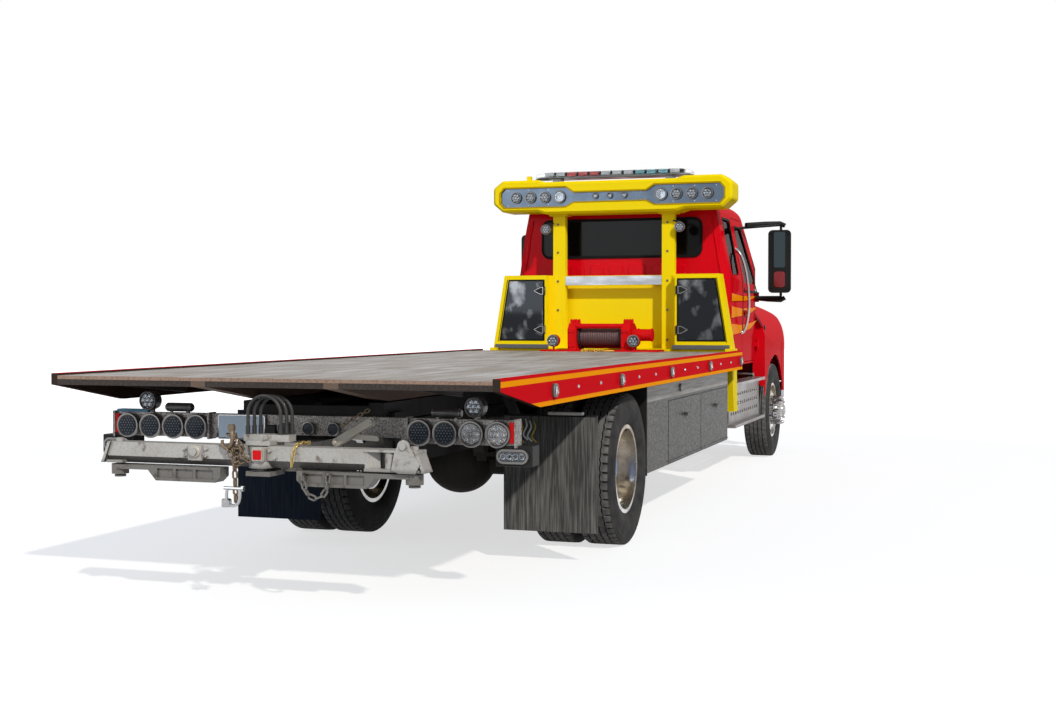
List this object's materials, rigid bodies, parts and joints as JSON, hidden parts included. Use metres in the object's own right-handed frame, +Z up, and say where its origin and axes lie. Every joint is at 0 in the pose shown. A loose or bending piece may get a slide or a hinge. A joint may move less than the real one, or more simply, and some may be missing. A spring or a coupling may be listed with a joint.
{
  "type": "flatbed tow truck with a wheel lift",
  "caption": "Flatbed tow truck: extended cab, sliding and tilting deck with a winch, lamp pylon on a headboard, side toolboxes and a folding wheel lift.",
  "frame": {"origin": "on the ground, in the middle of the vehicle's length and width", "axes": "+X forward, +Y to the vehicle's left, +Z up"},
  "size_m": [10.6, 2.934, 2.952],
  "materials": {
    "frame_paint": "satin black chassis paint",
    "cab_paint": "gloss red",
    "yellow_paint": "gloss yellow",
    "rail_paint": "red with an orange-yellow stripe",
    "deck_steel": "worn bare steel",
    "lift_paint": "weathered silver paint",
    "polished": "polished",
    "tread_plate": "bright tread plate",
    "chrome": "mirror",
    "tyre": "matte",
    "glass": "tinted",
    "black_plastic": "moulded",
    "interior": "dark trim",
    "lamp_clear": "clear lens",
    "lamp_red": "red lens",
    "flap_rubber": "streaked grey rubber",
    "cast": "cast",
    "stainless": "weathered",
    "hose_rubber": "black hose",
    "chain_steel": "dull brownish chain",
    "winch_red": "red"
  },
  "bodies": {
    "chassis": {"frame_rails": "frame_paint", "front_axle": "cast", "rear_axle": "cast", "powertrain": "cast", "tank_and_exhaust": "polished", "cab_shell": "cab_paint", "cab_glass": "glass", "cab_interior": "interior", "headboard": "yellow_paint", "pylon": "yellow_paint", "pylon_lamps": "polished", "light_bar": "lamp_clear", "toolbox_left": "tread_plate", "toolbox_right": "tread_plate", "side_steps": "tread_plate", "front_bumper": "chrome", "mud_flaps": "flap_rubber"},
    "hood_body": {"hood": "cab_paint", "grille": "chrome", "headlamps": "lamp_clear"},
    "tilting_frame": {"tilt_frame": "frame_paint", "tail_light_bar": "stainless"},
    "deck": {"deck_floor": "deck_steel", "deck_rails": "rail_paint", "deck_lamps": "chrome", "winch": "winch_red"},
    "drum": {"winch_drum": "cast"},
    "tilt_cylinder_barrels": {"tilt_barrels": "frame_paint"},
    "tilt_cylinder_rods": {"tilt_rods": "chrome"},
    "boom": {"lift_boom": "lift_paint"},
    "boom_extension": {"lift_extension": "lift_paint", "lift_hoses": "hose_rubber"},
    "swivel_bar": {"crossbar": "lift_paint", "lift_chains": "chain_steel"},
    "boom_cylinder_barrel": {"lift_barrel": "frame_paint"},
    "boom_cylinder_rod": {"lift_rod": "chrome"},
    "cab_door_left": {"door_left": "cab_paint", "door_glass_left": "glass", "mirror_left": "black_plastic"},
    "headboard_cabinet_door_left": {"headboard_door_left": "polished"},
    "toolbox_rear_lid_left": {"toolbox_rear_door_left": "tread_plate"},
    "toolbox_front_lid_left": {"toolbox_front_door_left": "tread_plate"},
    "steering_knuckle_left": {"knuckle_left": "cast"},
    "front_wheel_left": {"tyre_front_left": "tyre", "rim_front_left": "polished"},
    "rear_wheels_left": {"tyres_rear_left": "tyre", "rims_rear_left": "polished"},
    "lift_arm_left_body": {"lift_arm_left": "lift_paint"},
    "cab_door_right": {"door_right": "cab_paint", "door_glass_right": "glass", "mirror_right": "black_plastic"},
    "headboard_cabinet_door_right": {"headboard_door_right": "polished"},
    "toolbox_rear_lid_right": {"toolbox_rear_door_right": "tread_plate"},
    "toolbox_front_lid_right": {"toolbox_front_door_right": "tread_plate"},
    "steering_knuckle_right": {"knuckle_right": "cast"},
    "front_wheel_right": {"tyre_front_right": "tyre", "rim_front_right": "polished"},
    "rear_wheels_right": {"tyres_rear_right": "tyre", "rims_rear_right": "polished"},
    "lift_arm_right_body": {"lift_arm_right": "lift_paint"}
  },
  "joints": [
    {"name": "hood_tilt", "type": "hinge", "parent": "chassis", "child": "hood_body", "pos_m": [5.15, 0, 0.85], "axis": [0, 1, 0], "range_deg": [0, 60]},
    {"name": "cab_door_left_swing", "type": "hinge", "parent": "chassis", "child": "cab_door_left", "pos_m": [3.53, 1.085, 1.8], "axis": [0, 0, -1], "range_deg": [0, 65]},
    {"name": "headboard_door_left_swing", "type": "hinge", "parent": "chassis", "child": "headboard_cabinet_door_left", "pos_m": [1.509, 0.652, 1.6], "axis": [0, 0, 1], "range_deg": [0, 100]},
    {"name": "toolbox_rear_door_left_drop", "type": "hinge", "parent": "chassis", "child": "toolbox_rear_lid_left", "pos_m": [-0.6, 1.2065, 0.44], "axis": [-1, 0, 0], "range_deg": [0, 90]},
    {"name": "toolbox_front_door_left_drop", "type": "hinge", "parent": "chassis", "child": "toolbox_front_lid_left", "pos_m": [0.6, 1.2065, 0.44], "axis": [-1, 0, 0], "range_deg": [0, 90]},
    {"name": "steer_left", "type": "hinge", "parent": "chassis", "child": "steering_knuckle_left", "pos_m": [4.2, 0.82, 0.51], "axis": [0, 0, 1], "range_deg": [-35, 35]},
    {"name": "front_wheel_left_roll", "type": "hinge", "parent": "steering_knuckle_left", "child": "front_wheel_left", "pos_m": [4.2, 1.028, 0.51], "axis": [0, 1, 0], "continuous": true},
    {"name": "rear_wheels_left_roll", "type": "hinge", "parent": "chassis", "child": "rear_wheels_left", "pos_m": [-2.4, 0.928, 0.51], "axis": [0, 1, 0], "continuous": true},
    {"name": "lift_arm_left_fold", "type": "hinge", "parent": "swivel_bar", "child": "lift_arm_left_body", "pos_m": [-5.215, 0.85, 0.69], "axis": [0, 0, -1], "range_deg": [0, 90]},
    {"name": "cab_door_right_swing", "type": "hinge", "parent": "chassis", "child": "cab_door_right", "pos_m": [3.53, -1.085, 1.8], "axis": [0, 0, 1], "range_deg": [0, 65]},
    {"name": "headboard_door_right_swing", "type": "hinge", "parent": "chassis", "child": "headboard_cabinet_door_right", "pos_m": [1.509, -0.652, 1.6], "axis": [0, 0, -1], "range_deg": [0, 100]},
    {"name": "toolbox_rear_door_right_drop", "type": "hinge", "parent": "chassis", "child": "toolbox_rear_lid_right", "pos_m": [-0.6, -1.2065, 0.44], "axis": [1, 0, 0], "range_deg": [0, 90]},
    {"name": "toolbox_front_door_right_drop", "type": "hinge", "parent": "chassis", "child": "toolbox_front_lid_right", "pos_m": [0.6, -1.2065, 0.44], "axis": [1, 0, 0], "range_deg": [0, 90]},
    {"name": "steer_right", "type": "hinge", "parent": "chassis", "child": "steering_knuckle_right", "pos_m": [4.2, -0.82, 0.51], "axis": [0, 0, 1], "range_deg": [-35, 35]},
    {"name": "front_wheel_right_roll", "type": "hinge", "parent": "steering_knuckle_right", "child": "front_wheel_right", "pos_m": [4.2, -1.028, 0.51], "axis": [0, 1, 0], "continuous": true},
    {"name": "rear_wheels_right_roll", "type": "hinge", "parent": "chassis", "child": "rear_wheels_right", "pos_m": [-2.4, -0.928, 0.51], "axis": [0, 1, 0], "continuous": true},
    {"name": "lift_arm_right_fold", "type": "hinge", "parent": "swivel_bar", "child": "lift_arm_right_body", "pos_m": [-5.215, -0.85, 0.69], "axis": [0, 0, 1], "range_deg": [0, 90]},
    {"name": "deck_tilt", "type": "hinge", "parent": "chassis", "child": "tilting_frame", "pos_m": [-4.53, 0, 0.9], "axis": [0, -1, 0], "range_deg": [0, 15.5]},
    {"name": "deck_slide", "type": "slide", "parent": "tilting_frame", "child": "deck", "axis": [-1, 0, 0], "range_m": [0, 3.6]},
    {"name": "winch_drum_turn", "type": "hinge", "parent": "deck", "child": "drum", "pos_m": [1.255, 0, 1.348], "axis": [0, 1, 0], "continuous": true},
    {"name": "tilt_cylinder_swing", "type": "hinge", "parent": "chassis", "child": "tilt_cylinder_barrels", "pos_m": [-2.65, 0, 0.79], "axis": [0, -1, 0], "range_deg": [0, 33]},
    {"name": "tilt_cylinder_stroke", "type": "slide", "parent": "tilt_cylinder_barrels", "child": "tilt_cylinder_rods", "axis": [0.9873, 0, 0.1587], "range_m": [0, 0.25]},
    {"name": "lift_tilt", "type": "hinge", "parent": "tilting_frame", "child": "boom", "pos_m": [-3.7, 0, 0.79], "axis": [0, 1, 0], "range_deg": [-12, 0]},
    {"name": "lift_slide", "type": "slide", "parent": "boom", "child": "boom_extension", "axis": [1, 0, 0], "range_m": [-0.9, 0]},
    {"name": "crossbar_swivel", "type": "hinge", "parent": "boom_extension", "child": "swivel_bar", "pos_m": [-5.215, 0, 0.79], "axis": [0, 0, 1], "range_deg": [-15, 15]},
    {"name": "lift_cylinder_swing", "type": "hinge", "parent": "tilting_frame", "child": "boom_cylinder_barrel", "pos_m": [-3.85, -0.17, 0.95], "axis": [0, 1, 0], "range_deg": [-14.5, 0]},
    {"name": "lift_cylinder_stroke", "type": "slide", "parent": "boom_cylinder_barrel", "child": "boom_cylinder_rod", "axis": [-0.9833, 0, -0.1821], "range_m": [0, 0.05]}
  ],
  "couplings": [
    {"joint": "steer_right", "follows": "steer_left", "ratio": 1},
    {"joint": "tilt_cylinder_swing", "follows": "deck_tilt", "ratio": 2.074},
    {"joint": "tilt_cylinder_stroke", "follows": "deck_tilt", "m_per_rad": 0.906},
    {"joint": "lift_cylinder_swing", "follows": "lift_tilt", "ratio": 1.16},
    {"joint": "lift_cylinder_stroke", "follows": "lift_tilt", "m_per_rad": -0.198}
  ]
}
